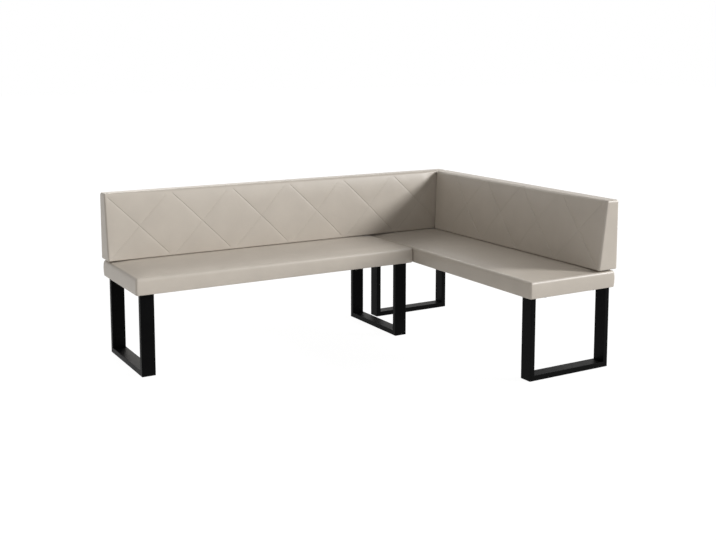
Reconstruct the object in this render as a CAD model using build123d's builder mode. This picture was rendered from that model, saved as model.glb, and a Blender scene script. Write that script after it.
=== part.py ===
from build123d import *
import os
from dataclasses import dataclass
from math import atan2, cos, floor, radians, sin

# Corner bench: two upholstered benches that meet at a right angle, on closed steel skid loops.
# Millimetres, +Z up. +X runs along the long bench to the corner, +Y points to the rear.
# The origin is on the floor, under the middle of the whole.

# Overall size
long_side = 2000.0
short_side = 1454.0
total_height = 800.0

# Seats
seat_reach = 510.0            # rear plane of the backrest to the front of the seat
seat_top = 470.0
seat_thickness = 83.0
seat_setback = 4.0            # seat ends and rear stand this far inside the backrest
seat_crown = 3.5              # rise of the top between its edges
seat_end_crown = 1.0          # what is left of that rise at the two ends
seat_crown_run = 150.0        # length over which the crown rises from each end
seat_draw_in = 3.0            # how far the base is drawn in from the fullest part of the side
seat_edge_radius = 14.0
seat_base_radius = 4.0
seat_end_radius = 8.0
seat_seam_gap = 1.0           # between the two seats where they butt

# Backrests, thinner at the top than at the foot
back_gap = 4.0                # shadow gap between seat and backrest
back_top_depth = 71.0
back_foot_depth = 112.0
back_crown = 4.0              # swell of the front between top and foot
back_end_crown = 1.0
back_crown_run = 120.0
back_top_radius = 10.0
back_foot_radius = 6.0
back_end_radius = 9.0
back_butt_gap = 0.6           # short backrest to the fullest part of the long one

# Sewn diamond quilting on the fronts: lines cross at mid height, from edge to edge
quilt_thickness = 10.0
long_quilt_pitch = 325.0
long_quilt_margin = 163.0     # free end to the first crossing
short_quilt_pitch = 294.0
short_quilt_margin = 161.0
channel_width = 60.0
channel_depth = 2.5           # below the plain front, where the swell is nil
channel_overrun = 12.0        # past the top and foot edges

# Upholstery layers
cover_thickness = 2.0
cover_turn_under = 24.0       # edge of the seat cover, stapled under the board
board_thickness = 18.0
board_corner_radius = 6.0
core_thickness = 18.0
core_padding = 9.0            # foam over the top and ends of the backrest panel
ease = 0.3                    # soft layer to soft layer, and round hidden fittings

# Skid loops of flat rectangular tube, mitred and welded, each under a flat bar
tube_width = 66.0
tube_height = 25.0
tube_wall = 2.0
tube_bevel = 1.2              # along the tube's corners
rail_thickness = 5.0          # flat bar on top of the uprights
leg_end_inset = 27.0
leg_front_inset = 29.0
leg_rear_inset = 11.0
glide_height = 2.0
glide_length = 60.0
glide_side_inset = 8.0
glide_end_inset = 20.0

# Bolts that hold each loop to its seat board, and their tee nuts
bolt_diameter = 8.0
bolt_head_width = 13.0
bolt_head_height = 5.3
bolt_end_distance = 90.0      # loop end to the bolts
bolt_row_width = 34.0
thread_clearance = 0.15
bolt_hole_clearance = 0.5
tee_barrel_diameter = 11.0
tee_wood_left = 5.0           # board under the end of a tee nut
tee_flange_diameter = 22.0
tee_flange_thickness = 1.6

# Angle brackets that carry the backrests, hidden in the foam
bracket_width = 40.0
bracket_thickness = 5.0
bracket_foot = 105.0
bracket_rise = 190.0          # stem inside the backrest
bracket_bend_radius = 5.0     # at the middle of the bar
bracket_end_inset = 300.0     # free end of a backrest to its outermost bracket
bracket_corner_inset = 330.0  # corner to the first bracket of the short backrest
long_bracket_count = 4
short_bracket_count = 3
foot_screw_spacing = 45.0
stem_screw_spacing = 90.0
screw_edge_distance = 22.0    # bar end to the nearest screw

# Wood screws for brackets and joining plates. Small round fittings have a few flat sides.
fitting_sides = 6
screw_diameter = 5.0
screw_head_diameter = 10.0
screw_head_height = 3.0
screw_wood_left = 5.0         # wood beyond the tip of a screw

# Plates that tie the two seat boards together across their seam
plate_leg_clearance = 3.0     # plate to the top rail beside it
plate_width = 70.0
plate_thickness = 3.0
plate_screw_spacing = 40.0
plate_spread = 300.0          # between the two plates

# Worked out from the sizes above
seat_base = seat_top - seat_thickness
board_base = seat_base + cover_thickness
board_top = board_base + board_thickness
board_inset = cover_thickness + max(seat_end_radius, seat_draw_in + seat_base_radius) + ease
board_bite = board_thickness - screw_wood_left
core_bite = core_thickness - screw_wood_left
tee_seat = board_top - tee_flange_thickness
tee_end = board_base + tee_wood_left
back_base = seat_top + back_gap
back_height = total_height - back_base
back_taper = back_foot_depth - back_top_depth
lean = atan2(back_taper, back_height)
stem_rear = -cover_thickness - core_thickness
stem_front = stem_rear - bracket_thickness
stem_top = back_base + cover_thickness + bracket_rise
core_top = total_height - cover_thickness - core_padding
leg_front = -seat_reach + leg_front_inset
leg_rear = -seat_setback - leg_rear_inset
seam_x = long_side / 2 - seat_reach
plate_reach = leg_end_inset - plate_leg_clearance
plate_screw_offset = (board_inset + plate_reach) / 2


@dataclass
class Bench:
    """One arm of the bench. Lengths run along frame.x_dir, and y is zero at the rear plane."""

    name: str
    frame: Plane
    seat_start: float
    seat_end: float
    back_start: float
    back_end: float
    butts: bool               # the start of the backrest leans against the other one
    crossings: list
    brackets: list
    loops: dict


def spread(first, last, count):
    """Evenly spaced places from first to last."""
    return [first + (last - first) * i / (count - 1) for i in range(count)]


def crossing_places(end, margin, pitch, direction, run):
    """Places along the front where two sewn lines cross, from the free end inwards."""
    count = floor((run - margin) / pitch) + 1
    return [end + direction * (margin + pitch * i) for i in range(count)]


long_bench = Bench(
    name="long",
    frame=Plane(origin=(-long_side / 2, short_side / 2, 0), x_dir=(1, 0, 0), z_dir=(0, 0, 1)),
    seat_start=seat_setback,
    seat_end=long_side - seat_reach - seat_seam_gap,
    back_start=0.0,
    back_end=long_side,
    butts=False,
    crossings=crossing_places(0.0, long_quilt_margin, long_quilt_pitch, 1, long_side),
    brackets=spread(bracket_end_inset, long_side - seat_reach / 2, long_bracket_count),
    loops={
        "left": seat_setback + leg_end_inset,
        "inner": long_side - seat_reach - leg_end_inset - tube_width,
    },
)
short_bench = Bench(
    name="short",
    frame=Plane(origin=(long_side / 2, short_side / 2, 0), x_dir=(0, -1, 0), z_dir=(0, 0, 1)),
    seat_start=seat_setback,
    seat_end=short_side - seat_setback,
    back_start=back_foot_depth,
    back_end=short_side,
    butts=True,
    crossings=crossing_places(
        short_side, short_quilt_margin, short_quilt_pitch, -1, short_side - back_foot_depth
    ),
    brackets=spread(bracket_corner_inset, short_side - bracket_end_inset, short_bracket_count),
    loops={
        "corner": seat_setback + leg_end_inset,
        "right": short_side - seat_setback - leg_end_inset - tube_width,
    },
)
benches = (long_bench, short_bench)

# Which brackets stand on which seat: the last of the long backrest reaches over the short seat
seat_brackets = {
    "long": [(long_bench, s) for s in long_bench.brackets[:-1]],
    "short": [(long_bench, long_bench.brackets[-1])] + [(short_bench, s) for s in short_bench.brackets],
}


def across(frame, s, tilt=0.0):
    """Plane square to the run at s: x points to the rear, y up, leaning back by tilt."""
    up = frame.x_dir * -sin(tilt) + frame.z_dir * cos(tilt)
    return Plane(
        origin=frame.from_local_coords((s, 0, 0)), x_dir=frame.y_dir, z_dir=frame.y_dir.cross(up)
    )


def global_points(frame, places):
    """Places given along and across a bench, as points on the floor plan."""
    return [frame.from_local_coords((s, y, 0)) for s, y in places]


def shrunk_radius(radius, inset):
    """Radius of an edge that lies inset behind the outer one, never nil."""
    return radius * radius / (radius + inset)


def end_steps(radius, plain):
    """Rounding of an end in straight steps, one if plain: distance from the end, and inset."""
    half = radius * (1 - cos(radians(45)))
    middle = [] if plain else [(half, half)]
    return [(0.0, radius)] + middle + [(radius, 0.0)]


def ease_corners(corners, radius, plain):
    """Round the corners of a section, or cut them flat if plain."""
    if plain:
        chamfer(corners, radius)
    else:
        fillet(corners, radius)


# Seat forms


def seat_section(plane, inset, crown, plain):
    """Seat outline square to the run, inset behind the outer face."""
    front = -seat_reach + inset
    rear = -seat_setback - inset
    base = seat_base + inset
    edge = seat_top - seat_crown - inset
    side_middle = (base + edge) / 2
    with BuildSketch(plane) as section:
        with BuildLine():
            Line((front + seat_draw_in, base), (rear - seat_draw_in, base))
            ThreePointArc((rear - seat_draw_in, base), (rear, side_middle), (rear - seat_draw_in, edge))
            ThreePointArc(
                (rear - seat_draw_in, edge), ((front + rear) / 2, edge + crown), (front + seat_draw_in, edge)
            )
            ThreePointArc((front + seat_draw_in, edge), (front, side_middle), (front + seat_draw_in, base))
        make_face()
        corners = section.vertices().sort_by(Axis.Y)
        ease_corners(corners[:2], shrunk_radius(seat_base_radius, inset), plain)
        corners = section.vertices().sort_by(Axis.Y)
        ease_corners(corners[-2:], shrunk_radius(seat_edge_radius, inset), plain)
    return section.sketch


def seat_form(bench, skin):
    """Whole seat cushion, skin inside the outer face: crowned top, drawn-in sides, rounded ends."""
    start = bench.seat_start + skin
    end = bench.seat_end - skin
    plain = skin > 0
    steps = end_steps(seat_end_radius, plain)
    stations = [(start + d, skin + inset, seat_end_crown) for d, inset in steps]
    stations += [(start + seat_crown_run, skin, seat_crown), (end - seat_crown_run, skin, seat_crown)]
    stations += [(end - d, skin + inset, seat_end_crown) for d, inset in reversed(steps)]
    sections = [seat_section(across(bench.frame, s), inset, crown, plain) for s, inset, crown in stations]
    with BuildPart() as form:
        loft(sections=sections, ruled=True)
    return form.part


def seat_plan(bench, inset):
    """Plain rectangle of the seat seen from above, inset from its outline: centre and size."""
    rear = -seat_setback - inset
    front = -seat_reach + inset
    start = bench.seat_start + inset
    end = bench.seat_end - inset
    middle = bench.frame.from_local_coords(((start + end) / 2, (front + rear) / 2, 0))
    return middle, end - start, rear - front


def plan_plane(bench, middle, height):
    """Level plane at a height, turned the way the bench runs."""
    return Plane(origin=(middle.X, middle.Y, height), x_dir=bench.frame.x_dir, z_dir=(0, 0, 1))


# Places of the fasteners on the floor plan


def leg_bolt_points(bench):
    """Four bolts for each loop, in two rows."""
    places = []
    for s in bench.loops.values():
        middle = s + tube_width / 2
        for side in (-bolt_row_width / 2, bolt_row_width / 2):
            places += [(middle + side, leg_front + bolt_end_distance)]
            places += [(middle + side, leg_rear - bolt_end_distance)]
    return global_points(bench.frame, places)


def foot_screw_points(bench, s):
    """Screws through the foot of the bracket at s."""
    toe = stem_rear - bracket_foot + screw_edge_distance
    return global_points(bench.frame, [(s, toe), (s, toe + foot_screw_spacing)])


def seat_screw_points(bench):
    """All bracket screws in the board of this bench."""
    points = []
    for owner, s in seat_brackets[bench.name]:
        points += foot_screw_points(owner, s)
    return points


def plate_middles():
    """Middles of the two joining plates on the floor plan."""
    middle = short_side / 2 - (seat_reach + seat_setback) / 2
    return [(seam_x, middle + side) for side in (-plate_spread / 2, plate_spread / 2)]


def plate_screw_points(sides=(-1, 1)):
    """Screws of the joining plates on the given sides of the seam."""
    points = []
    for x, y in plate_middles():
        for side in sides:
            for along in (-plate_screw_spacing / 2, plate_screw_spacing / 2):
                points += [(x + side * plate_screw_offset, y + along)]
    return points


def plate_side(bench):
    """Side of the seam that this bench lies on."""
    return (-1,) if bench is long_bench else (1,)


def fitting_outline(diameter):
    """Outline of a small round fitting or its hole."""
    RegularPolygon(diameter / 2, fitting_sides, major_radius=False)


def drill(points, diameter, base, top):
    """Cut upright holes in the current piece."""
    with BuildSketch(Plane.XY.offset(base)) as holes:
        with Locations(*[(x, y) for x, y, *_ in points]):
            fitting_outline(diameter)
    extrude(holes.sketch, amount=top - base, mode=Mode.SUBTRACT)


def drive(plane, places, head_diameter, head_height, shank_diameter, length):
    """Add screws or bolts to the current piece: heads on the plane, shanks behind it."""
    with BuildSketch(plane) as heads:
        with Locations(*places):
            fitting_outline(head_diameter)
    extrude(heads.sketch, amount=head_height)
    with BuildSketch(plane) as shanks:
        with Locations(*places):
            fitting_outline(shank_diameter)
    extrude(shanks.sketch, amount=-length)


def facing_down(height):
    """Level plane that faces the floor. Its y runs against the floor plan's."""
    return Plane(origin=(0, 0, height), x_dir=(1, 0, 0), z_dir=(0, 0, -1))


def cut_stem_slots(brackets, base, top, head_room=0.0):
    """Cut the openings that the bracket stems pass through, with room for screw heads in front."""
    for owner, s in brackets:
        with BuildSketch(across(owner.frame, s)) as slot:
            with Locations((stem_rear + ease, base)):
                Rectangle(
                    bracket_thickness + head_room + 2 * ease, top - base, align=(Align.MAX, Align.MIN)
                )
        extrude(slot.sketch, amount=bracket_width / 2 + ease, both=True, mode=Mode.SUBTRACT)


def cut_foot_pockets(brackets):
    """Cut the room for the bracket feet and their screw heads in the foam over the board."""
    height = bracket_thickness + screw_head_height + ease
    length = bracket_foot + 2 * ease
    for owner, s in brackets:
        with BuildSketch(across(owner.frame, s)) as pocket:
            with Locations((stem_rear + ease, board_top)):
                Rectangle(length, height, align=(Align.MAX, Align.MIN))
        extrude(pocket.sketch, amount=bracket_width / 2 + ease, both=True, mode=Mode.SUBTRACT)


# Seat pieces


def make_seat_cover(bench):
    """Sewn cover: a shell, open underneath inside its turned-under edge."""
    middle, length, depth = seat_plan(bench, cover_turn_under)
    with BuildPart() as cover:
        add(seat_form(bench, 0.0))
        add(seat_form(bench, cover_thickness), mode=Mode.SUBTRACT)
        with BuildSketch(plan_plane(bench, middle, seat_base)):
            Rectangle(length, depth)
        extrude(amount=cover_thickness, mode=Mode.SUBTRACT)
        cut_stem_slots(seat_brackets[bench.name], board_top, seat_top)
        drill(
            plate_screw_points(plate_side(bench)),
            screw_diameter + 2 * thread_clearance,
            seat_base,
            board_base,
        )
    return cover.part


def make_seat_foam(bench):
    """Foam block on the board, with room for the fittings that stand on it."""
    with BuildPart() as foam:
        add(seat_form(bench, cover_thickness + ease))
        split(bisect_by=Plane.XY.offset(board_top), keep=Keep.TOP)
        cut_foot_pockets(seat_brackets[bench.name])
        cut_stem_slots(seat_brackets[bench.name], board_top, seat_top)
    return foam.part


def make_seat_board(bench):
    """Plywood board with the holes for tee nuts and screws."""
    middle, length, depth = seat_plan(bench, board_inset)
    with BuildPart() as board:
        with BuildSketch(plan_plane(bench, middle, board_base)):
            RectangleRounded(length, depth, board_corner_radius)
        extrude(amount=board_thickness)
        bolt_points = leg_bolt_points(bench)
        drill(bolt_points, tee_barrel_diameter + 2 * thread_clearance, board_base, board_top)
        drill(bolt_points, tee_flange_diameter + 2 * thread_clearance, tee_seat, board_top)
        drill(
            seat_screw_points(bench),
            screw_diameter + 2 * thread_clearance,
            board_top - board_bite,
            board_top,
        )
        drill(
            plate_screw_points(plate_side(bench)),
            screw_diameter + 2 * thread_clearance,
            board_base,
            board_base + board_bite,
        )
    return board.part


def make_seat_lining(bench):
    """Dust lining that closes the underside inside the turned-under edge."""
    middle, length, depth = seat_plan(bench, cover_turn_under + ease)
    with BuildPart() as lining:
        with BuildSketch(plan_plane(bench, middle, seat_base)):
            Rectangle(length, depth)
        extrude(amount=cover_thickness)
        drill(leg_bolt_points(bench), bolt_diameter + 2 * bolt_hole_clearance, seat_base, board_base)
    return lining.part


# Backrest forms


def front_at(height):
    """Distance of the plain front from the rear plane, at a height."""
    return -back_top_depth - back_taper * (total_height - height) / back_height


def back_section(plane, inset, crown, plain, stretch=1.0):
    """Backrest outline on a plane across the run. Stretch makes up for a leaning plane."""
    top = total_height - inset
    base = back_base + inset
    top_front = front_at(top) + inset / cos(lean)
    base_front = front_at(base) + inset / cos(lean)
    swell_y = (top_front + base_front) / 2 - crown * cos(lean)
    swell_z = (top + base) / 2 + crown * sin(lean)
    with BuildSketch(plane) as section:
        with BuildLine():
            Line((-inset, base * stretch), (-inset, top * stretch))
            Line((-inset, top * stretch), (top_front, top * stretch))
            ThreePointArc(
                (top_front, top * stretch), (swell_y, swell_z * stretch), (base_front, base * stretch)
            )
            Line((base_front, base * stretch), (-inset, base * stretch))
        make_face()
        corners = section.vertices().sort_by(Axis.Y)
        ease_corners(corners[:2], shrunk_radius(back_foot_radius, inset), plain)
        corners = section.vertices().sort_by(Axis.Y)
        ease_corners(corners[-2:], shrunk_radius(back_top_radius, inset), plain)
    return section.sketch


def back_form(bench, skin):
    """Whole backrest, skin inside the outer face. A butting start leans with the other front."""
    plain = skin > 0
    steps = end_steps(back_end_radius, plain)
    end = bench.back_end - skin
    tilt = lean if bench.butts else 0.0
    stretch = 1 / cos(tilt)
    start = bench.back_start + skin
    if bench.butts:
        start += (back_crown + back_butt_gap) / cos(lean) + back_base * back_taper / back_height
    sections = [
        back_section(across(bench.frame, start + d, tilt), skin + inset, back_end_crown, plain, stretch)
        for d, inset in steps
    ]
    for s in (bench.back_start + skin + back_crown_run, end - back_crown_run):
        sections += [back_section(across(bench.frame, s), skin, back_crown, plain)]
    sections += [
        back_section(across(bench.frame, end - d), skin + inset, back_end_crown, plain)
        for d, inset in reversed(steps)
    ]
    with BuildPart() as form:
        loft(sections=sections, ruled=True)
    return form.part


def quilt_plane(bench):
    """Plane between the quilted front and the foam behind it, facing the front."""
    behind = front_at(back_base) + quilt_thickness / cos(lean)
    return Plane(
        origin=bench.frame.from_local_coords((0, behind, back_base)),
        x_dir=bench.frame.x_dir,
        z_dir=bench.frame.y_dir * -cos(lean) + bench.frame.z_dir * sin(lean),
    )


def channel_plane(bench, crossing, half_pitch):
    """Plane square to one sewn line, at its upper end: y points out of the front."""
    upper = bench.frame.from_local_coords((crossing - half_pitch, front_at(total_height), total_height))
    lower = bench.frame.from_local_coords((crossing + half_pitch, front_at(back_base), back_base))
    along = (lower - upper).normalized()
    outward = quilt_plane(bench).z_dir
    return Plane(
        origin=upper - along * channel_overrun, x_dir=outward.cross(along), z_dir=along
    ), (lower - upper).length + 2 * channel_overrun


def cut_channels(bench, pitch):
    """Press the crossing sewn lines into the quilted front: two rounded flanks that meet in a crease."""
    half = channel_width / 2
    for crossing in bench.crossings:
        for half_pitch in (pitch / 2, -pitch / 2):
            plane, length = channel_plane(bench, crossing, half_pitch)
            with BuildSketch(plane) as groove:
                with BuildLine():
                    TangentArc((-half, back_crown), (0, -channel_depth), tangent=(1, 0))
                    TangentArc((half, back_crown), (0, -channel_depth), tangent=(-1, 0))
                    Polyline(
                        (half, back_crown),
                        (half, back_crown + channel_depth),
                        (-half, back_crown + channel_depth),
                        (-half, back_crown),
                    )
                make_face()
            extrude(groove.sketch, amount=length, mode=Mode.SUBTRACT)


# Backrest pieces


def make_back_quilt(bench, pitch):
    """Quilted front panel with its swell and its sewn diamonds."""
    with BuildPart() as quilt:
        add(back_form(bench, 0.0))
        split(bisect_by=quilt_plane(bench), keep=Keep.TOP)
        cut_channels(bench, pitch)
    return quilt.part


def make_back_cover(bench):
    """Cover of the rear, top, ends and underside: a shell, open to the quilted front."""
    with BuildPart() as cover:
        add(back_form(bench, 0.0))
        add(back_form(bench, cover_thickness), mode=Mode.SUBTRACT)
        split(bisect_by=quilt_plane(bench), keep=Keep.BOTTOM)
        cut_stem_slots([(bench, s) for s in bench.brackets], back_base, back_base + cover_thickness)
    return cover.part


def core_span(bench):
    """Start and end of the stiff panel along the run."""
    start = bench.back_start + cover_thickness + core_padding
    if bench.butts:
        start += back_crown + back_butt_gap + back_end_radius
    return start, bench.back_end - cover_thickness - core_padding


def core_block(bench, slack):
    """Stiff panel, or with slack the room for it."""
    start, end = core_span(bench)
    base = back_base + cover_thickness
    with BuildPart() as block:
        with BuildSketch(across(bench.frame, start - slack)):
            with Locations((-cover_thickness, base - slack)):
                Rectangle(
                    core_thickness, core_top - base + 2 * slack, align=(Align.MAX, Align.MIN)
                )
        extrude(amount=end - start + 2 * slack)
    return block.part


def stem_screw_heights():
    """Heights of the screws that hold a stem to the panel."""
    upper = stem_top - screw_edge_distance
    return [upper, upper - stem_screw_spacing]


def make_back_core(bench):
    """Plywood panel behind the foam, with the pilot holes for the stems."""
    with BuildPart() as core:
        add(core_block(bench, 0.0))
        lower_edges = core.edges().filter_by(Axis((0, 0, 0), bench.frame.x_dir)).group_by(Axis.Z)[0]
        chamfer(lower_edges.sort_by(Axis((0, 0, 0), bench.frame.y_dir))[-1], back_foot_radius)
        for s in bench.brackets:
            with BuildSketch(stem_face(bench, s)) as holes:
                with Locations(*[(0, z) for z in stem_screw_heights()]):
                    fitting_outline(screw_diameter + 2 * thread_clearance)
            extrude(holes.sketch, amount=-core_bite, mode=Mode.SUBTRACT)
    return core.part


def stem_face(bench, s):
    """Upright plane on the front of the panel at s, facing the front: y is height."""
    return Plane(
        origin=bench.frame.from_local_coords((s, stem_rear, 0)),
        x_dir=bench.frame.x_dir,
        z_dir=bench.frame.y_dir * -1,
    )


def make_back_foam(bench):
    """Foam wedge between the panel and the quilted front."""
    with BuildPart() as foam:
        add(back_form(bench, cover_thickness + ease))
        split(bisect_by=quilt_plane(bench), keep=Keep.BOTTOM)
        add(core_block(bench, ease), mode=Mode.SUBTRACT)
        cut_stem_slots(
            [(bench, s) for s in bench.brackets], back_base, stem_top + ease, screw_head_height
        )
    return foam.part


def make_brackets(bench):
    """Bent flat bars: a foot on the seat board and a stem up into the backrest."""
    middle = stem_rear - bracket_thickness / 2
    level = board_top + bracket_thickness / 2
    hole = screw_diameter + 2 * thread_clearance
    with BuildPart() as brackets:
        for s in bench.brackets:
            with BuildSketch(across(bench.frame, s)) as bar:
                with BuildLine():
                    FilletPolyline(
                        (stem_rear - bracket_foot, level),
                        (middle, level),
                        (middle, stem_top),
                        radius=bracket_bend_radius,
                    )
                trace(line_width=bracket_thickness)
            extrude(bar.sketch, amount=bracket_width / 2, both=True)
            with BuildSketch(stem_face(bench, s)) as holes:
                with Locations(*[(0, z) for z in stem_screw_heights()]):
                    fitting_outline(hole)
            extrude(holes.sketch, amount=bracket_thickness, mode=Mode.SUBTRACT)
            drill(foot_screw_points(bench, s), hole, board_top, board_top + bracket_thickness)
    return brackets.part


def make_bracket_screws(bench):
    """Wood screws of the feet and the stems."""
    foot_face = Plane.XY.offset(board_top + bracket_thickness)
    with BuildPart() as screws:
        for s in bench.brackets:
            foot_places = [(p.X, p.Y) for p in foot_screw_points(bench, s)]
            stem_places = [(0, z) for z in stem_screw_heights()]
            for plane, places, bite in (
                (foot_face, foot_places, board_bite),
                (stem_face(bench, s).offset(bracket_thickness), stem_places, core_bite),
            ):
                drive(
                    plane,
                    places,
                    screw_head_diameter,
                    screw_head_height,
                    screw_diameter,
                    bracket_thickness + bite,
                )
    return screws.part


# Skid loops


def loop_corner(index, inset):
    """Corner of a loop, inset from its outside: front foot, rear foot, rear top, front top, cut square."""
    front = leg_front + inset
    rear = leg_rear - inset
    foot = glide_height + inset
    top = seat_base - rail_thickness
    return [(front, foot), (rear, foot), (rear, top), (front, top)][index % 4]


def loop_side(index, outer, inner):
    """Mitred outline of one side of a loop, between two insets."""
    return [
        loop_corner(index, outer),
        loop_corner(index + 1, outer),
        loop_corner(index + 1, inner),
        loop_corner(index, inner),
    ]


def make_tube(bench, s, index):
    """One mitred length of rectangular tube."""
    plane = across(bench.frame, s)
    axis = bench.frame.y_dir if index % 2 == 0 else bench.frame.z_dir
    with BuildPart() as tube:
        with BuildSketch(plane):
            with BuildLine():
                Polyline(*loop_side(index, 0.0, tube_height), close=True)
            make_face()
        extrude(amount=tube_width)
        chamfer(tube.edges().filter_by(Axis((0, 0, 0), axis)), tube_bevel)
        with BuildSketch(plane.offset(tube_wall)):
            with BuildLine():
                Polyline(*loop_side(index, tube_wall, tube_height - tube_wall), close=True)
            make_face()
        extrude(amount=tube_width - 2 * tube_wall, mode=Mode.SUBTRACT)
    return tube.part


def make_rail(bench, s):
    """Flat bar across the uprights, drilled for the bolts."""
    under = seat_base - rail_thickness
    middle = global_points(bench.frame, [(s + tube_width / 2, (leg_front + leg_rear) / 2)])[0]
    with BuildPart() as rail:
        with BuildSketch(plan_plane(bench, middle, under)):
            Rectangle(tube_width, leg_rear - leg_front)
        extrude(amount=rail_thickness)
        chamfer(rail.edges().filter_by(Axis.Z), tube_bevel)
        drill(leg_bolt_points(bench), bolt_diameter + 2 * bolt_hole_clearance, under, seat_base)
    return rail.part


# First corner of each tube of a loop
tube_sides = {"floor_runner": 0, "rear_upright": 1, "front_upright": 3}


def make_leg_bolts(bench):
    """Hexagon bolts from below, through the top rail into the tee nuts."""
    under = seat_base - rail_thickness
    with BuildPart() as bolts:
        drive(
            facing_down(under),
            [(p.X, -p.Y) for p in leg_bolt_points(bench)],
            bolt_head_width,
            bolt_head_height,
            bolt_diameter,
            tee_seat - under,
        )
    return bolts.part


def make_tee_nuts(bench):
    """Flanged threaded sleeves, let into the board flush with its top."""
    with BuildPart() as nuts:
        drive(
            Plane.XY.offset(tee_seat),
            [(p.X, p.Y) for p in leg_bolt_points(bench)],
            tee_flange_diameter,
            tee_flange_thickness,
            tee_barrel_diameter,
            tee_seat - tee_end,
        )
        drill(leg_bolt_points(bench), bolt_diameter + 2 * thread_clearance, tee_end, board_top)
    return nuts.part


def make_glides(bench):
    """Felt glides under the floor runners, near both ends."""
    width = tube_width - 2 * glide_side_inset
    reach = glide_end_inset + glide_length / 2
    places = []
    for s in bench.loops.values():
        places += [(s + tube_width / 2, leg_front + reach), (s + tube_width / 2, leg_rear - reach)]
    with BuildPart() as glides:
        for point in global_points(bench.frame, places):
            with BuildSketch(plan_plane(bench, point, 0.0)) as pad:
                Rectangle(width, glide_length)
            extrude(pad.sketch, amount=glide_height)
    return glides.part


# Corner fittings


def make_joining_plates():
    """Two flat plates under the seam of the seats."""
    with BuildPart() as plates:
        with BuildSketch(Plane.XY.offset(seat_base)):
            with Locations(*plate_middles()):
                Rectangle(2 * plate_reach, plate_width)
        extrude(amount=-plate_thickness)
        drill(
            plate_screw_points(),
            screw_diameter + 2 * thread_clearance,
            seat_base - plate_thickness,
            seat_base,
        )
    return plates.part


def make_joining_screws():
    """Wood screws through the plates into both boards."""
    under = seat_base - plate_thickness
    with BuildPart() as screws:
        drive(
            facing_down(under),
            [(x, -y) for x, y in plate_screw_points()],
            screw_head_diameter,
            screw_head_height,
            screw_diameter,
            board_base + board_bite - under,
        )
    return screws.part


def finish(part, node):
    """Label a finished piece and write it."""
    part.label = node
    export_step(part, f"parts/{node}.step")


os.makedirs("parts", exist_ok=True)
for bench in benches:
    pitch = long_quilt_pitch if bench is long_bench else short_quilt_pitch
    finish(make_seat_board(bench), f"{bench.name}_seat_board")
    finish(make_seat_foam(bench), f"{bench.name}_seat_foam")
    finish(make_seat_cover(bench), f"{bench.name}_seat_cover")
    finish(make_seat_lining(bench), f"{bench.name}_seat_lining")
    finish(make_back_core(bench), f"{bench.name}_back_panel")
    finish(make_back_foam(bench), f"{bench.name}_back_foam")
    finish(make_back_quilt(bench, pitch), f"{bench.name}_back_quilt")
    finish(make_back_cover(bench), f"{bench.name}_back_cover")
    finish(make_brackets(bench), f"{bench.name}_back_brackets")
    finish(make_bracket_screws(bench), f"{bench.name}_bracket_screws")
    finish(make_leg_bolts(bench), f"{bench.name}_leg_bolts")
    finish(make_tee_nuts(bench), f"{bench.name}_tee_nuts")
    finish(make_glides(bench), f"{bench.name}_glides")
    for place, s in bench.loops.items():
        for side, index in tube_sides.items():
            finish(make_tube(bench, s, index), f"{place}_leg_{side}")
        finish(make_rail(bench, s), f"{place}_leg_top_rail")
finish(make_joining_plates(), "joining_plates")
finish(make_joining_screws(), "joining_screws")
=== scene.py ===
from math import atan2, cos, hypot, pi, radians, sin, tan

import bmesh
import bpy
import numpy as np
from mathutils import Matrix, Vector


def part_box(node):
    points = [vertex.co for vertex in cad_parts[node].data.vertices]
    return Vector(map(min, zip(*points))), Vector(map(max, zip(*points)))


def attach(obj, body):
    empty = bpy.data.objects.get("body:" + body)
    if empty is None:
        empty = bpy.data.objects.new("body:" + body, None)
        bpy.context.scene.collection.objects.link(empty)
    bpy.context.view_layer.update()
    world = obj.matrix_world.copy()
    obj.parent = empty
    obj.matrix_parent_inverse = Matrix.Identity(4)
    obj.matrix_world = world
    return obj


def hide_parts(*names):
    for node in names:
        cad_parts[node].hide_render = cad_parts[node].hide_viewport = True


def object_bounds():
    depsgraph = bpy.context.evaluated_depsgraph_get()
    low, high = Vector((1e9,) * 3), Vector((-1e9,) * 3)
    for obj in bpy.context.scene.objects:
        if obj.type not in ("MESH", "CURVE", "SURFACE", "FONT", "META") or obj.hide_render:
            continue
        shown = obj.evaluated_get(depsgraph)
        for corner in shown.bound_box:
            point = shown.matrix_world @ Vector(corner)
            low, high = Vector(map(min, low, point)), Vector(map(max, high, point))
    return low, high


# Corner bench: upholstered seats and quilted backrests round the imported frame. Metres, +Z up.
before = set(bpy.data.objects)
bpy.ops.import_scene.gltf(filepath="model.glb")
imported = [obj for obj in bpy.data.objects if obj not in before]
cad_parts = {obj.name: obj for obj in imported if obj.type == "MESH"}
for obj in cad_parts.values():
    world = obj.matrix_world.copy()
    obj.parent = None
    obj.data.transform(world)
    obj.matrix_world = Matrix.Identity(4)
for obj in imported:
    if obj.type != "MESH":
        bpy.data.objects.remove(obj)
cad_low, cad_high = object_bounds()
scene = bpy.context.scene

# Seats
SEAT_CROWN = 0.0035           # rise of the top between its edges
SEAT_CROWN_RUN = 0.15
SEAT_DRAW_IN = 0.003          # pull of the cover on the sides, above and below their middle
SEAT_DRAW_RUN = 0.03          # inwards from the side it fades out
SEAT_TOP_RADIUS = 0.014
SEAT_BASE_RADIUS = 0.004
SEAT_PLAN_RADIUS = 0.010
SEAT_STEP = 0.008             # grid of the fabric
ARC_CELLS = 4                 # grid cells through half a rounded edge
GRID_CLEAR = 0.4              # share of a step that stays free next to a rounded edge
TURN_UNDER = 0.024            # cover edge under the seat
COVER_THICKNESS = 0.002
SEAT_RECESS = 0.0017          # underside within the turned-under edge

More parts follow.
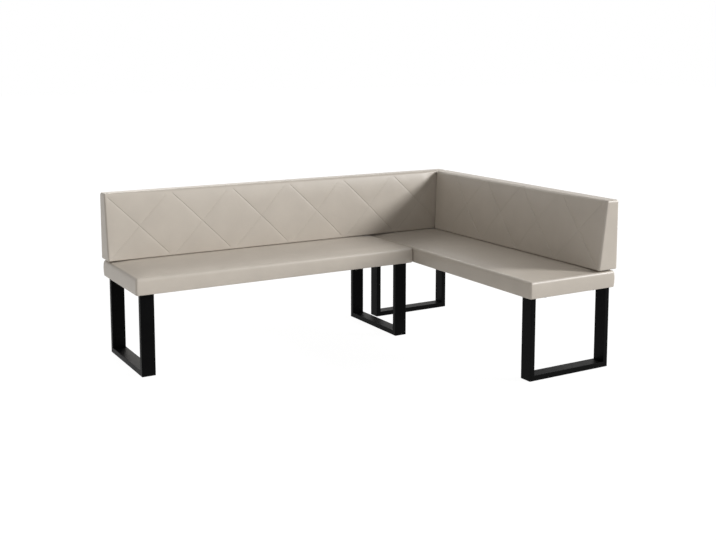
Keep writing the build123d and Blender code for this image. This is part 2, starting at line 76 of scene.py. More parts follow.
# Backrests
BACK_TOP_DEPTH = 0.071
BACK_FOOT_DEPTH = 0.112
BACK_CROWN = 0.004
BACK_CROWN_RUN = 0.12
BACK_SWELL = 0.004            # further rise, clear of the corner and the ends
BACK_CORNER_RUN = 0.10        # from the inner corner to the full swell
BACK_FREE_RUN = 0.35          # from the free end
BACK_TOP_RUN = 0.10           # from the top edge down to the full rise
BACK_FOOT_RUN = 0.16
BACK_ROLL = 0.005             # roll of the filling under the top edge
BACK_ROLL_RUN = 0.050
BACK_TOP_RADIUS = 0.014
BACK_FOOT_RADIUS = 0.006
BACK_END_RADIUS = 0.009
BACK_BUTT_RADIUS = 0.010      # end that meets the other backrest
BACK_REAR_RADIUS = 0.008
BACK_BUTT_GAP = 0.0046        # short backrest to the plain front of the long one
BACK_DEPTH_STEP = 0.009
LEAN_FROM = 0.02              # depth from which the lean begins and before which it ends

# Sewn diamonds
QUILT_CELLS = 66              # grid cells from one crossing to the next, and from foot to top
QUILT_PITCH = {"long": 0.325, "short": 0.294}
QUILT_MARGIN = {"long": 0.163, "short": 0.161}
QUILT_COUNT = {"long": 6, "short": 4}
PILLOW = 0.0015               # rise of a diamond over its sewn lines
PILLOW_FADE = 0.03            # along the edges of the front the diamonds run out
SEAM_LAP = {"long": 1, "short": -1}             # 1: upper diamonds lap over lower ones, -1: lower over upper
GROOVE_HALF = 0.0009          # half the finely cut strip along a sewn line; the groove's bed is its edge
GROOVE_DEPTH = {"long": 0.0009, "short": 0.0016}
GROOVE_RUN = {"long": 0.006, "short": 0.014}    # past the bed the groove runs out
GROOVE_CELLS = 6
GROOVE_MARGIN = 0.008         # plain strip along the edges of the front
STITCH_PITCH = 0.0055
STITCH_LENGTH = 0.0044
STITCH_RADIUS = 0.0004
ROD_SIDES = 6
ROD_RINGS = ((-0.5, 0.5, -0.9), (-0.3, 1.0, 0.0), (0.3, 1.0, 0.0), (0.5, 0.5, -0.9))   # place, width, sink
ON_LINE = 1e-6                # a point this near a sewn line is on it
OFF_FRONT = 1.0               # distance that stands for points clear of the front

# Fabric blown up by its filling
CLOTH_PRESSURE = 4.0
CLOTH_STIFFNESS = 40.0
CLOTH_FRAMES = 20
CLOTH_CAP = 0.004             # furthest that a point may move
HELD_EDGE = 0.012             # strip that stays put along the edge of a panel
LEAST_MOVE = 1e-9             # keeps still points from a division by nil

# Underside
LINING_STEP = 0.014
LINING_LEVEL = 0.0010         # over the base of the seat
LINING_WAVE = 0.0003
LINING_LONG_WAVES = (31, 11)  # wave numbers along the seat, main and bending
LINING_CROSS_WAVES = (23, 17)
LINING_BEND = 2
STAPLE_PITCH = 0.065
STAPLE_INSET = 0.006
STAPLE_LENGTH = 0.011
STAPLE_RADIUS = 0.0005

# Camera, fitted to the straight edges of the picture
IMAGE_WIDTH = 716
IMAGE_HEIGHT = 540
FOCAL_PIXELS = 1030.3
CAMERA_PLACE = (-2.4136, -4.1849, 1.4859)
CAMERA_TURN = 30.236
CAMERA_PITCH = 7.0
PRINCIPAL_POINT = (357.5, 176.4)
SENSOR_WIDTH = 36.0

# Light
KEY_TOWARDS = (1.7, -1.25, 1.0)
KEY_STRENGTH = 3.02
KEY_ANGLE = 14.0
REAR_TOWARDS = (0.18, 0.80, 0.58)
REAR_STRENGTH = 0.80
REAR_ANGLE = 36.0
LEFT_TOWARDS = (-1.0, -0.2, 0.5)
LEFT_STRENGTH = 0.22
LEFT_ANGLE = 50.0
SKY_STRENGTH = 0.22
LAMP_DISTANCE = 4.0           # only where a lamp's symbol stands
KEY_COLOUR = (1.0, 1.0, 1.0)
SIDE_COLOUR = (1.0, 0.95, 0.88)
FLOOR_SIZE = 60.0
FLOOR_COLOUR = 0.92
FLOOR_WHITENESS = 0.88        # share of plain white that the camera sees in the floor
FLOOR_GLOW = 1.10             # makes up for what the lamps leave short of white

# Colours, linear
LEATHER_LIGHT = (0.52, 0.470, 0.408)
LEATHER_DARK = (0.495, 0.447, 0.388)
# thread darker than the leather: partly its own colour, partly painted shade that darkens the sewn lines
THREAD = (0.36, 0.32, 0.27)
THREAD_SHADE = 0.85
COAT_DARK = (0.0011, 0.0011, 0.0012)
COAT_LIGHT = (0.002, 0.002, 0.0021)
PLY_DARK = (0.42, 0.27, 0.14)
PLY_LIGHT = (0.62, 0.45, 0.27)
FOAM_DARK = (0.52, 0.47, 0.30)
FOAM_LIGHT = (0.72, 0.68, 0.50)
LINING_DARK = (0.012, 0.012, 0.013)
LINING_LIGHT = (0.032, 0.032, 0.034)
ZINC_DARK = (0.42, 0.43, 0.45)
ZINC_LIGHT = (0.62, 0.63, 0.65)
FELT_DARK = (0.03, 0.03, 0.03)
FELT_LIGHT = (0.09, 0.09, 0.09)
RAMP_FROM = 0.35              # texture value of the dark tone
RAMP_TO = 0.65


def smooth(x):
    """Smooth step from 0 to 1."""
    x = np.clip(x, 0.0, 1.0)
    return x * x * (3 - 2 * x)


def dome(x):
    """Rise that starts steep and levels off at 1."""
    x = np.clip(x, 0.0, 1.0)
    return 1 - (1 - x) ** 2


# Each bench has its own frame: along the run, from the rear plane to the front, and up
class Bench:
    def __init__(self, name, origin, along, forward):
        self.name = name
        self.origin = np.array(origin)
        self.axes = np.array([along, forward, (0, 0, 1)], float)
        self.seat = self.local_box(f"{name}_seat_cover")
        cover = self.local_box(f"{name}_back_cover")
        quilt = self.local_box(f"{name}_back_quilt")
        self.back = np.minimum(cover[0], quilt[0]), np.maximum(cover[1], quilt[1])

    def local_box(self, node):
        """Lowest and highest corner of a node in this frame."""
        corners = [self.axes @ (np.array(corner) - self.origin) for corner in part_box(node)]
        return np.minimum(*corners), np.maximum(*corners)

    def world(self, places):
        """Places of this frame in the part's frame."""
        return self.origin + places @ self.axes


rear = cad_high.y
benches = (
    Bench("long", (cad_low.x, rear, 0), (1, 0, 0), (0, -1, 0)),
    Bench("short", (cad_high.x, rear, 0), (0, -1, 0), (-1, 0, 0)),
)


# Grids
def grid_lines(low, high, low_radius, high_radius, step, anchor):
    """Grid lines from low to high: a few through each rounded edge, the rest a step apart."""
    arc = [tan(radians(45) * i / ARC_CELLS) for i in range(1, ARC_CELLS + 1)]
    clear = GRID_CLEAR * step
    first = low + low_radius
    last = high - high_radius
    lines = [low + low_radius * (1 - t) for t in reversed(arc)] + [first]
    count = int((last - anchor) / step) + 1
    start = -int((anchor - first) / step) - 1
    inner = [anchor + step * i for i in range(start, count + 1)]
    lines += [x for x in inner if first + clear < x < last - clear]
    lines += [last] + [high - high_radius * (1 - t) for t in arc]
    return np.array(lines)


def grid_box(lines):
    """Surface of a box as a grid: vertex places, their line numbers, and the faces of each side."""
    counts = [len(line) for line in lines]
    numbers = np.stack(np.meshgrid(*[np.arange(n) for n in counts], indexing="ij"), -1)
    edge = np.zeros(counts, bool)
    for axis in range(3):
        edge |= (numbers[..., axis] == 0) | (numbers[..., axis] == counts[axis] - 1)
    index = np.full(counts, -1)
    index[edge] = np.arange(edge.sum())
    cells = numbers[edge]
    places = np.stack([lines[axis][cells[:, axis]] for axis in range(3)], 1)
    sides = {}
    for axis in range(3):
        for side in (0, 1):
            layer = np.take(index, side * (counts[axis] - 1), axis)
            quads = np.stack([layer[:-1, :-1], layer[1:, :-1], layer[1:, 1:], layer[:-1, 1:]], -1)
            sides[axis, side] = quads.reshape(-1, 4)
    return places, cells, sides


def round_edges(places, low, high, radii):
    """Wrap a box grid round its edges. radii holds a low and a high radius for each axis."""
    core = places.copy()
    reach = np.zeros_like(places)
    size = np.ones_like(places)
    for axis in range(3):
        for limit, radius, sign in ((low, radii[axis][0], -1), (high, radii[axis][1], 1)):
            bound = limit[axis] - sign * radius
            past = sign * (places[:, axis] - bound) > 0
            core[past, axis] = bound
            reach[past, axis] = (places[past, axis] - bound) / radius
            size[past, axis] = radius
    return core + reach / np.linalg.norm(reach, axis=1, keepdims=True) * size


def add_mesh(name, places, faces, material):
    """Mesh object with smooth faces that point outwards."""
    mesh = bpy.data.meshes.new(name)
    mesh.from_pydata(places.tolist(), [], [list(face) for face in faces])
    made = bmesh.new()
    made.from_mesh(mesh)
    bmesh.ops.recalc_face_normals(made, faces=made.faces)
    made.to_mesh(mesh)
    made.free()
    mesh.shade_smooth()
    mesh.materials.append(material)
    piece = bpy.data.objects.new(name, mesh)
    scene.collection.objects.link(piece)
    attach(piece, "root")
    return piece


def panel_of(quads):
    """The points of a panel, and its faces numbered over them."""
    points, numbers = np.unique(quads, return_inverse=True)
    return points, numbers.reshape(quads.shape)


def billow(places, faces, held):
    """Blow up a panel of fabric that is held along its seams: where its points settle."""
    mesh = bpy.data.meshes.new("billow")
    mesh.from_pydata(places.tolist(), [], faces.tolist())
    panel = bpy.data.objects.new("billow", mesh)
    scene.collection.objects.link(panel)
    panel.vertex_groups.new(name="held").add(np.flatnonzero(held).tolist(), 1.0, "REPLACE")
    cloth = panel.modifiers.new("cloth", "CLOTH")
    cloth.settings.vertex_group_mass = "held"
    cloth.settings.use_pressure = True
    cloth.settings.uniform_pressure_force = CLOTH_PRESSURE
    cloth.settings.tension_stiffness = CLOTH_STIFFNESS
    cloth.settings.effector_weights.gravity = 0
    for step in range(1, CLOTH_FRAMES + 1):
        scene.frame_set(step)
    settled = panel.evaluated_get(bpy.context.evaluated_depsgraph_get())
    moved = np.empty(3 * len(places))
    settled.data.vertices.foreach_get("co", moved)
    scene.frame_set(1)
    bpy.data.objects.remove(panel)
    bpy.data.meshes.remove(mesh)
    move = moved.reshape(-1, 3) - places
    length = np.maximum(np.linalg.norm(move, axis=1, keepdims=True), LEAST_MOVE)
    return places + move / length * CLOTH_CAP * np.tanh(length / CLOTH_CAP)


def rods(middles, along, out, length, radius):
    """Short round rods that dive in at both ends: stitches and staples."""
    along = along / np.linalg.norm(along, axis=1, keepdims=True)
    side = np.cross(along, out)
    points = []
    for place, width, sink in ROD_RINGS:
        centre = middles + along * length * place + out * radius * sink
        for i in range(ROD_SIDES):
            turn = 2 * pi * i / ROD_SIDES
            points += [centre + (side * cos(turn) + out * sin(turn)) * radius * width]
    places = np.stack(points, 1).reshape(-1, 3)
    pattern = []
    for ring in range(len(ROD_RINGS) - 1):
        for i in range(ROD_SIDES):
            j = (i + 1) % ROD_SIDES
            low, high = ring * ROD_SIDES, (ring + 1) * ROD_SIDES
            pattern += [[low + i, low + j, high + j, high + i]]
    faces = np.array(pattern)[None] + (np.arange(len(middles)) * len(points))[:, None, None]
    caps = [list(range(ROD_SIDES)), list(range(len(points) - ROD_SIDES, len(points)))]
    ends = np.array(caps)[None] + (np.arange(len(middles)) * len(points))[:, None, None]
    return places, faces.reshape(-1, 4).tolist() + ends.reshape(-1, ROD_SIDES).tolist()


# Materials
def new_material(name):
    """Material with its shader, the object's coordinates, and a function that adds nodes."""
    material = bpy.data.materials.new(name)
    material.use_nodes = True
    tree = material.node_tree
    shader = tree.nodes["Principled BSDF"]

    def node(kind, **values):
        made = tree.nodes.new(kind)
        for key, value in values.items():
            if key in made.inputs:
                made.inputs[key].default_value = value
            else:
                setattr(made, key, value)
        return made

    place = node("ShaderNodeTexCoord").outputs["Object"]
    return material, tree.links, shader, node, place


def noise_node(node, links, place, scale, detail):
    """Noise over the object."""
    made = node("ShaderNodeTexNoise", Scale=scale, Detail=detail)
    links.new(place, made.inputs["Vector"])
    return made


def ramp_between(node, links, source, dark, light):
    """Colour between two tones, driven by a texture."""
    ramp = node("ShaderNodeValToRGB")
    ramp.color_ramp.elements[0].position = RAMP_FROM
    ramp.color_ramp.elements[1].position = RAMP_TO
    ramp.color_ramp.elements[0].color = (*dark, 1)
    ramp.color_ramp.elements[1].color = (*light, 1)
    links.new(source, ramp.inputs["Fac"])
    return ramp.outputs["Color"]


def range_of(node, links, source, low, high):
    """A texture's value mapped from low to high."""
    made = node("ShaderNodeMapRange")
    made.inputs["To Min"].default_value = low
    made.inputs["To Max"].default_value = high
    links.new(source, made.inputs["Value"])
    return made.outputs["Result"]


def bump(node, links, source, distance, strength, under=None):
    """Relief from a texture, over another relief where one is given."""
    made = node("ShaderNodeBump", Strength=strength, Distance=distance)
    links.new(source, made.inputs["Height"])
    if under is not None:
        links.new(under, made.inputs["Normal"])
    return made.outputs["Normal"]


def leather():
    """Imitation leather: pebbled grain, faint mottling, a satin finish."""
    material, links, shader, node, place = new_material("imitation_leather")
    mottle = noise_node(node, links, place, scale=9.0, detail=4.0)
    tone = ramp_between(node, links, mottle.outputs["Fac"], LEATHER_DARK, LEATHER_LIGHT)
    links.new(tone, shader.inputs["Base Color"])
    grain = node("ShaderNodeTexVoronoi", Scale=620.0, feature="DISTANCE_TO_EDGE")
    links.new(place, grain.inputs["Vector"])
    fine = noise_node(node, links, place, scale=1500.0, detail=3.0)
    soft = noise_node(node, links, place, scale=45.0, detail=3.0)
    wave = bump(node, links, soft.outputs["Fac"], distance=0.0012, strength=0.15)
    skin = bump(node, links, grain.outputs["Distance"], distance=0.0002, strength=0.35, under=wave)
    skin = bump(node, links, fine.outputs["Fac"], distance=0.0001, strength=0.15, under=skin)
    links.new(skin, shader.inputs["Normal"])
    rough = range_of(node, links, soft.outputs["Fac"], low=0.35, high=0.45)
    links.new(rough, shader.inputs["Roughness"])
    return material


def powder_coat():
    """Fine-textured black coating on steel."""
    material, links, shader, node, place = new_material("powder_coat_black")
    peel = noise_node(node, links, place, scale=900.0, detail=2.0)
    patch = noise_node(node, links, place, scale=14.0, detail=3.0)
    tone = ramp_between(node, links, patch.outputs["Fac"], COAT_DARK, COAT_LIGHT)
    links.new(tone, shader.inputs["Base Color"])
    relief = bump(node, links, peel.outputs["Fac"], distance=0.00015, strength=0.2)
    links.new(relief, shader.inputs["Normal"])
    links.new(range_of(node, links, patch.outputs["Fac"], low=0.38, high=0.50), shader.inputs["Roughness"])
    shader.inputs["Specular IOR Level"].default_value = 0.045
    return material


def thread():
    """Sewing thread, twisted; its colour, darker than the leather, is partly the thread's own and partly
    painted shade along the sewn lines.
    """
    material, links, shader, node, place = new_material("sewing_thread")
    twist = noise_node(node, links, place, scale=2500.0, detail=1.0)
    dark = tuple(THREAD_SHADE * c for c in THREAD)
    links.new(ramp_between(node, links, twist.outputs["Fac"], dark, THREAD), shader.inputs["Base Color"])
    shader.inputs["Roughness"].default_value = 0.6
    return material


def plywood():
    """Birch plywood with its figure along the board."""
    material, links, shader, node, place = new_material("birch_plywood")
    stretch = node("ShaderNodeMapping")
    stretch.inputs["Scale"].default_value = (2.0, 40.0, 40.0)
    links.new(place, stretch.inputs["Vector"])
    figure = node("ShaderNodeTexNoise", Scale=3.0, Detail=6.0)
    links.new(stretch.outputs["Vector"], figure.inputs["Vector"])
    tone = ramp_between(node, links, figure.outputs["Fac"], PLY_DARK, PLY_LIGHT)
    links.new(tone, shader.inputs["Base Color"])
    relief = bump(node, links, figure.outputs["Fac"], distance=0.0003, strength=0.3)
    links.new(relief, shader.inputs["Normal"])
    shader.inputs["Roughness"].default_value = 0.62
    return material


def foam():
    """Open-pored upholstery foam."""
    material, links, shader, node, place = new_material("seat_foam")
    pores = node("ShaderNodeTexVoronoi", Scale=900.0)
    links.new(place, pores.inputs["Vector"])
    tone = ramp_between(node, links, pores.outputs["Distance"], FOAM_DARK, FOAM_LIGHT)
    links.new(tone, shader.inputs["Base Color"])
    relief = bump(node, links, pores.outputs["Distance"], distance=0.0006, strength=0.5)
    links.new(relief, shader.inputs["Normal"])
    shader.inputs["Roughness"].default_value = 0.9
    return material


def lining():
    """Spun-bonded dust lining with its embossed points."""
    material, links, shader, node, place = new_material("dust_lining")
    points = node("ShaderNodeTexVoronoi", Scale=420.0, Randomness=0.15)
    links.new(place, points.inputs["Vector"])
    fibre = noise_node(node, links, place, scale=700.0, detail=4.0)
    tone = ramp_between(node, links, fibre.outputs["Fac"], LINING_DARK, LINING_LIGHT)
    links.new(tone, shader.inputs["Base Color"])
    relief = bump(node, links, points.outputs["Distance"], distance=0.0003, strength=0.5)
    links.new(relief, shader.inputs["Normal"])
    shader.inputs["Roughness"].default_value = 0.85
    return material


def zinc():
    """Zinc-plated steel of the fittings."""
    material, links, shader, node, place = new_material("zinc_plated_steel")
    spangle = noise_node(node, links, place, scale=160.0, detail=4.0)
    tone = ramp_between(node, links, spangle.outputs["Fac"], ZINC_DARK, ZINC_LIGHT)
    links.new(tone, shader.inputs["Base Color"])
    links.new(range_of(node, links, spangle.outputs["Fac"], low=0.28, high=0.45), shader.inputs["Roughness"])
    shader.inputs["Metallic"].default_value = 1.0
    return material


def felt():
    """Grey felt of the glides."""
    material, links, shader, node, place = new_material("grey_felt")
    fibre = noise_node(node, links, place, scale=1300.0, detail=5.0)
    tone = ramp_between(node, links, fibre.outputs["Fac"], FELT_DARK, FELT_LIGHT)
    links.new(tone, shader.inputs["Base Color"])
    relief = bump(node, links, fibre.outputs["Fac"], distance=0.0006, strength=0.6)
    links.new(relief, shader.inputs["Normal"])
    shader.inputs["Roughness"].default_value = 0.95
    return material


leather_finish = leather()
thread_finish = thread()
finishes = {
    "upholstery": leather_finish,
    "powder_coat": powder_coat(),
    "plywood": plywood(),
    "foam": foam(),
    "lining": lining(),
    "zinc_steel": zinc(),
    "felt": felt(),
}


def slot_of(node):
    """Material slot of a node, by what its name says."""
    words = {
        "leg_floor": "powder_coat",
        "leg_rear": "powder_coat",
        "leg_top": "powder_coat",
        "leg_front": "powder_coat",
        "board": "plywood",
        "panel": "plywood",
        "foam": "foam",
        "lining": "lining",
        "glides": "felt",
        "cover": "upholstery",
        "quilt": "upholstery",
    }
    return next((slot for word, slot in words.items() if word in node), "zinc_steel")


for name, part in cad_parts.items():
    for slot in part.material_slots:
        slot.material = finishes[slot_of(name)]


# Seats
def make_seat(bench):
    """Upholstered seat: crowned top, rounded edges, drawn-in sides, cover turned under."""
    low, high = bench.seat
    high = high - (0, 0, SEAT_CROWN)
    radii = [(SEAT_PLAN_RADIUS, SEAT_PLAN_RADIUS)] * 2 + [(SEAT_BASE_RADIUS, SEAT_TOP_RADIUS)]
    lines = []
    for axis in range(3):
        middle = (low[axis] + high[axis]) / 2
        lines += [grid_lines(low[axis], high[axis], *radii[axis], SEAT_STEP, middle)]
    for axis in (0, 1):
        turned = [low[axis] + TURN_UNDER, high[axis] - TURN_UNDER]
        step_in = [turned[0] + COVER_THICKNESS / 2, turned[1] - COVER_THICKNESS / 2]
        lines[axis] = np.sort(np.concatenate([lines[axis], turned, step_in]))
    places, cells, sides = grid_box(lines)
    inset = np.minimum(places - low, high - places)
    made = round_edges(places, low, high, radii)
    half = (high[2] - low[2]) / 2
    height = (made[:, 2] - low[2]) / half - 1
    for axis in (0, 1):
        pull = SEAT_DRAW_IN * height ** 2 * smooth(1 - inset[:, axis] / SEAT_DRAW_RUN)
        made[:, axis] += np.where(places[:, axis] * 2 < low[axis] + high[axis], pull, -pull)
    rise = dome(inset[:, 0] / SEAT_CROWN_RUN) * dome(inset[:, 1] / SEAT_CROWN_RUN)
    made[:, 2] += SEAT_CROWN * rise * smooth(height)
    within = TURN_UNDER + COVER_THICKNESS / 4
    under = (cells[:, 2] == 0) & (inset[:, 0] > within) & (inset[:, 1] > within)
    made[under, 2] += SEAT_RECESS
    made = bench.world(made)
    points, panel = panel_of(sides[2, 1])
    held = np.minimum(inset[points, 0], inset[points, 1]) < SEAT_TOP_RADIUS + HELD_EDGE
    made[points] = billow(made[points], panel[:, ::-1], held)
    faces = np.concatenate(list(sides.values()))
    seat = add_mesh(f"{bench.name}_seat_upholstery", made, faces, leather_finish)
    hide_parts(f"{bench.name}_seat_cover")


def make_lining(bench):
    """Dust lining stretched under the seat, and the staples along its edge."""
    low, high = bench.local_box(f"{bench.name}_seat_lining")
    lines = []
    for axis in (0, 1):
        count = int((high[axis] - low[axis]) / LINING_STEP)
        lines += [np.linspace(low[axis], high[axis], count)]
    s, d = np.meshgrid(*lines, indexing="ij")
    main, bend = np.multiply.outer(LINING_LONG_WAVES, s)
    cross, cross_bend = np.multiply.outer(LINING_CROSS_WAVES, d)
    wave = np.sin(main + LINING_BEND * np.sin(cross_bend)) * np.sin(cross + np.sin(bend))
    z = low[2] + LINING_LEVEL + LINING_WAVE * wave
    numbers = np.arange(s.size).reshape(s.shape)
    corners = [numbers[:-1, :-1], numbers[1:, :-1], numbers[1:, 1:], numbers[:-1, 1:]]
    quads = np.stack(corners, -1).reshape(-1, 4)
    places = np.stack([s, d, z], -1).reshape(-1, 3)
    sheet = add_mesh(f"{bench.name}_dust_lining", bench.world(places), quads, finishes["lining"])
    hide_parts(f"{bench.name}_seat_lining")
    middles, along = [], []
    for axis in (0, 1):
        count = int((high[axis] - low[axis]) / STAPLE_PITCH)
        for edge in (low[1 - axis] + STAPLE_INSET, high[1 - axis] - STAPLE_INSET):
            for i in range(count):
                place = np.zeros(3)
                place[axis] = low[axis] + (high[axis] - low[axis]) * (i + 0.5) / count
                place[1 - axis] = edge
                place[2] = low[2] + LINING_LEVEL - LINING_WAVE
                middles += [place]
                along += [np.eye(3)[axis]]
    out = np.tile((0.0, 0.0, -1.0), (len(middles), 1))
    places, faces = rods(np.array(middles), np.array(along), out, STAPLE_LENGTH, STAPLE_RADIUS)
    staples = add_mesh(f"{bench.name}_lining_staples", bench.world(places), faces, finishes["zinc_steel"])


# Backrests
class Backrest:
    """Box, lean and sewn pattern of a bench's backrest, in the bench's own frame."""

    def __init__(self, bench):
        self.bench = bench
        low, high = bench.back
        self.depth = (BACK_TOP_DEPTH + BACK_FOOT_DEPTH) / 2
        self.butts = bench.name == "short"
        start = self.depth + BACK_BUTT_GAP if self.butts else low[0]
        self.low = np.array([start, 0.0, low[2]])
        self.high = np.array([high[0], self.depth, high[2]])
        self.height = high[2] - low[2]
        self.middle = (low[2] + high[2]) / 2
        slope = atan2(BACK_FOOT_DEPTH - BACK_TOP_DEPTH, self.height)
        self.outward = np.array([0.0, cos(slope), sin(slope)])
        self.pitch = QUILT_PITCH[bench.name]
        self.count = QUILT_COUNT[bench.name]
        self.direction = -1 if self.butts else 1
        self.lap = SEAM_LAP[bench.name]
        margin = QUILT_MARGIN[bench.name]
        self.first = self.high[0] - margin if self.butts else self.low[0] + margin

    def front(self, z):
        """Depth of the plain front at a height."""
        share = (self.high[2] - z) / self.height
        return BACK_TOP_DEPTH + (BACK_FOOT_DEPTH - BACK_TOP_DEPTH) * share

    def to_edge(self, s, z):
        """Distance of a point of the front from the nearest edge."""
        to_end = np.minimum(s - self.low[0], self.high[0] - s)
        return np.minimum(np.minimum(z - self.low[2], self.high[2] - z), to_end)

    def over_lines(self, s, z):
        """Distances from the nearest sewn line of each slant, negative on its groove's side."""
        square = self.height / np.hypot(self.height, self.pitch)
        distances = []
        for slant in (1, -1):
            across = (s - self.first) * self.direction + slant * (z - self.middle) * self.pitch / self.height
            nearest = np.clip(np.round(across / self.pitch), 0, self.count - 1)
            distances += [self.lap * slant * (across - nearest * self.pitch) * square]
        return np.array(distances)

    def to_line(self, s, z):
        """Distance of a point of the front from the nearest sewn line."""
        return np.abs(self.over_lines(s, z)).min(0)

    def lift(self, s, z):
        """Height of the sewn lines over the plain front."""
        to_end = np.minimum(s - self.low[0], self.high[0] - s)
        to_corner = s - self.low[0] if self.butts else self.high[0] - s - self.front(z)
        to_free = self.high[0] - s if self.butts else s - self.low[0]
        clear = smooth(to_corner / BACK_CORNER_RUN) * smooth(to_free / BACK_FREE_RUN)
        rise = BACK_CROWN * dome(to_end / BACK_CROWN_RUN) + BACK_SWELL * clear
        rise = rise * dome((self.high[2] - z) / BACK_TOP_RUN)
        rise = rise + BACK_ROLL * clear * dome((self.high[2] - z) / BACK_ROLL_RUN)
        crown = rise * dome((z - self.low[2]) / BACK_FOOT_RUN)
        return crown - PILLOW * smooth(self.to_edge(s, z) / PILLOW_FADE)

    def groove(self, s, z):
        """Depth of the sewn grooves: a steep side along each line and a gentle run past the bed."""
        over = self.over_lines(s, z) + GROOVE_HALF
        steep = np.cos(np.clip(over / GROOVE_HALF, 0, 1) * pi / 2) ** 2
        gentle = np.clip(1 + over / GROOVE_RUN[self.bench.name], 0, 1)
        fade = smooth((self.to_edge(s, z) - GROOVE_MARGIN) / GROOVE_MARGIN)
        return GROOVE_DEPTH[self.bench.name] * np.where(over > 0, steep, gentle).max(0) * fade

    def set_up(self, places):
        """Places in the part's frame, with the butting end leaned against the other backrest."""
        places = places.copy()
        if self.butts:
            near = smooth(1 - (places[:, 0] - self.low[0]) / BACK_CROWN_RUN)
            places[:, 0] += (self.front(places[:, 2]) - self.depth) * near
        return self.bench.world(places)


def make_back(back):
    """Upholstered backrest: leaning quilted front, rounded edges, plain rear."""
    low, high, name = back.low, back.high, back.bench.name
    radii = [
        (BACK_BUTT_RADIUS if back.butts else BACK_END_RADIUS, BACK_END_RADIUS),
        (BACK_REAR_RADIUS, BACK_END_RADIUS),
        (BACK_FOOT_RADIUS, BACK_TOP_RADIUS),
    ]
    lines = [
        grid_lines(low[0], high[0], *radii[0], back.pitch / QUILT_CELLS, back.first),
        grid_lines(low[1], high[1], *radii[1], BACK_DEPTH_STEP, back.depth / 2),
        grid_lines(low[2], high[2], *radii[2], back.height / QUILT_CELLS, back.middle),
    ]
    places, _, sides = grid_box(lines)
    made = round_edges(places, low, high, radii)
    share = np.clip((made[:, 1] - LEAN_FROM) / (back.depth - 2 * LEAN_FROM), 0, 1)
    made[:, 1] += (back.front(made[:, 2]) - back.depth) * share
    points, panel = panel_of(sides[1, 1])
    s, z = places[points, 0], places[points, 2]
    to_line = np.full(len(places), OFF_FRONT)
    to_line[points] = back.to_line(s, z)
    lift = back.lift(s, z)
    made[points] += lift[:, None] * back.outward
    held = (to_line[points] < ON_LINE) | (back.to_edge(s, z) < HELD_EDGE)
    made[points] = billow(made[points], panel[:, ::-1], held)
    faces = []
    for key, quads in sides.items():
        faces += split_along_lines(quads, to_line) if key == (1, 1) else quads.tolist()
    upholstery = add_mesh(f"{name}_back_upholstery", made, faces, leather_finish)
    sew(upholstery.data, back, to_line < ON_LINE)
    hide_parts(f"{name}_back_cover", f"{name}_back_quilt")


def split_along_lines(quads, to_line):
    """Cut the quads that a sewn line crosses from corner to corner."""
    on_line = to_line[quads] < ON_LINE
    rising = on_line[:, 0] & on_line[:, 2]
    falling = on_line[:, 1] & on_line[:, 3] & ~rising
    faces = quads[~rising & ~falling].tolist()
    faces += quads[rising][:, [0, 1, 2]].tolist() + quads[rising][:, [0, 2, 3]].tolist()
    faces += quads[falling][:, [0, 1, 3]].tolist() + quads[falling][:, [1, 2, 3]].tolist()
    return faces


def sew(mesh, back, on_line):
    """Press the narrow sewn grooves into the front, then set the backrest up in its place."""
    skin = bmesh.new()
    skin.from_mesh(mesh)
    seams = [edge for edge in skin.edges if all(on_line[point.index] for point in edge.verts)]
    cut = dict(offset=GROOVE_HALF, segments=GROOVE_CELLS, profile=0.5, affect="EDGES")
    bmesh.ops.bevel(skin, geom=seams, **cut)
    places = np.array([point.co[:] for point in skin.verts])
    s, d, z = places.T
    on_front = d > back.front(z) - 2 * PILLOW
    rise = (d - back.front(z)) * back.outward[1]
    plain_z = z - rise * back.outward[2]
    places -= (back.groove(s, plain_z) * on_front)[:, None] * back.outward
    for point, place in zip(skin.verts, back.set_up(places)):
        point.co = place
    skin.normal_update()
    bmesh.ops.recalc_face_normals(skin, faces=skin.faces)
    skin.to_mesh(mesh)
    skin.free()
    mesh.shade_smooth()


def make_stitching(back):
    """Thread along the sewn lines, one stitch after another."""
    reach = back.height / 2 - 2 * GROOVE_MARGIN
    run = back.pitch / back.height
    count = int(2 * reach * hypot(1, run) / STITCH_PITCH)
    z = back.middle + reach * (2 * (np.arange(count) + 0.5) / count - 1)
    bed = z - back.lap * GROOVE_HALF * hypot(1, run) / run
    middles, along = [], []
    for crossing in range(back.count):
        for slant in (1, -1):
            s = back.first + back.direction * (crossing * back.pitch - slant * (z - back.middle) * run)
            level = back.lift(s, bed) - back.groove(s, bed) + STITCH_RADIUS / 2
            line = np.stack([s, back.front(bed), bed], 1) + level[:, None] * back.outward
            inside = back.to_edge(s, bed) > 2 * GROOVE_MARGIN
            middles += [line[inside]]
            along += [np.gradient(line, axis=0)[inside]]
    middles = np.concatenate(middles)
    out = np.tile(back.outward, (len(middles), 1))
    places, faces = rods(middles, np.concatenate(along), out, STITCH_LENGTH, STITCH_RADIUS)
    thread = add_mesh(f"{back.bench.name}_back_stitching", back.set_up(places), faces, thread_finish)


for bench in benches:
    make_seat(bench)
    make_lining(bench)
    make_back(Backrest(bench))
    make_stitching(Backrest(bench))


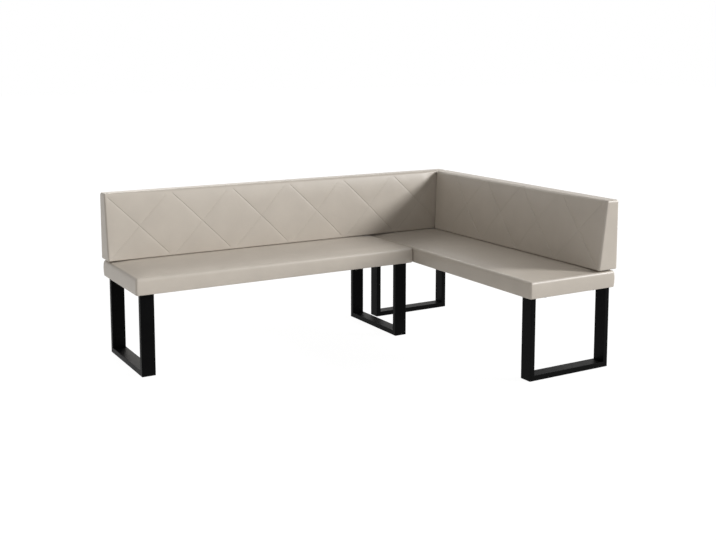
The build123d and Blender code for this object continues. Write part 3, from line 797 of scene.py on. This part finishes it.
# Floor, light and camera
def make_floor():
    """Pale floor that keeps the shadow and is nearly white to the camera."""
    mesh = bpy.data.meshes.new("floor")
    half = FLOOR_SIZE / 2
    corners = [(-half, -half, 0), (half, -half, 0), (half, half, 0), (-half, half, 0)]
    mesh.from_pydata(corners, [], [range(4)])
    floor = bpy.data.objects.new("floor", mesh)
    scene.collection.objects.link(floor)
    material = bpy.data.materials.new("pale_floor")
    material.use_nodes = True
    tree = material.node_tree
    tree.nodes.clear()
    matt = tree.nodes.new("ShaderNodeBsdfDiffuse")
    matt.inputs["Color"].default_value = (FLOOR_COLOUR, FLOOR_COLOUR, FLOOR_COLOUR, 1)
    white = tree.nodes.new("ShaderNodeEmission")
    white.inputs["Strength"].default_value = FLOOR_GLOW
    mix = tree.nodes.new("ShaderNodeMixShader")
    out = tree.nodes.new("ShaderNodeOutputMaterial")
    seen = seen_directly(tree, FLOOR_WHITENESS)
    tree.links.new(seen, mix.inputs[0])
    tree.links.new(matt.outputs[0], mix.inputs[1])
    tree.links.new(white.outputs[0], mix.inputs[2])
    tree.links.new(mix.outputs[0], out.inputs["Surface"])
    mesh.materials.append(material)


def seen_directly(tree, share):
    """Share on camera, glossy and transmitted rays, nil on the rest."""
    path = tree.nodes.new("ShaderNodeLightPath")
    most = path.outputs["Is Camera Ray"]
    for other in ("Is Glossy Ray", "Is Transmission Ray"):
        either = tree.nodes.new("ShaderNodeMath")
        either.operation = "MAXIMUM"
        tree.links.new(most, either.inputs[0])
        tree.links.new(path.outputs[other], either.inputs[1])
        most = either.outputs[0]
    scaled = tree.nodes.new("ShaderNodeMath")
    scaled.operation = "MULTIPLY"
    scaled.inputs[1].default_value = share
    tree.links.new(most, scaled.inputs[0])
    return scaled.outputs[0]


def make_sky():
    """Weak even light, white to the camera."""
    world = bpy.data.worlds.new("studio")
    scene.world = world
    world.use_nodes = True
    tree = world.node_tree
    sky = tree.nodes["Background"]
    sky.inputs["Color"].default_value = (1, 1, 1, 1)
    extra = seen_directly(tree, 1 - SKY_STRENGTH)
    total = tree.nodes.new("ShaderNodeMath")
    total.inputs[1].default_value = SKY_STRENGTH
    tree.links.new(extra, total.inputs[0])
    tree.links.new(total.outputs[0], sky.inputs["Strength"])


def make_sun(name, towards, strength, angle, colour):
    """Sun lamp that shines from the direction given."""
    light = bpy.data.lights.new(name, "SUN")
    light.energy = strength
    light.color = colour
    light.angle = radians(angle)
    lamp = bpy.data.objects.new(name, light)
    lamp.rotation_euler = Vector(towards).to_track_quat("Z", "Y").to_euler()
    lamp.location = Vector(towards) * LAMP_DISTANCE
    scene.collection.objects.link(lamp)


def make_camera():
    """Camera of the picture, with a shift for the part of the tilt that its pitch leaves out."""
    data = bpy.data.cameras.new("camera")
    data.sensor_width = SENSOR_WIDTH
    data.lens = FOCAL_PIXELS / IMAGE_WIDTH * SENSOR_WIDTH
    data.shift_x = (IMAGE_WIDTH / 2 - PRINCIPAL_POINT[0]) / IMAGE_WIDTH
    data.shift_y = (PRINCIPAL_POINT[1] - IMAGE_HEIGHT / 2) / IMAGE_WIDTH
    camera = bpy.data.objects.new("camera", data)
    camera.location = CAMERA_PLACE
    camera.rotation_euler = (radians(90 - CAMERA_PITCH), 0, -radians(CAMERA_TURN))
    scene.collection.objects.link(camera)
    scene.camera = camera


make_floor()
make_sky()
make_sun("key", KEY_TOWARDS, KEY_STRENGTH, KEY_ANGLE, KEY_COLOUR)
make_sun("rear", REAR_TOWARDS, REAR_STRENGTH, REAR_ANGLE, SIDE_COLOUR)
make_sun("left", LEFT_TOWARDS, LEFT_STRENGTH, LEFT_ANGLE, SIDE_COLOUR)
make_camera()
scene.view_settings.view_transform = "Standard"
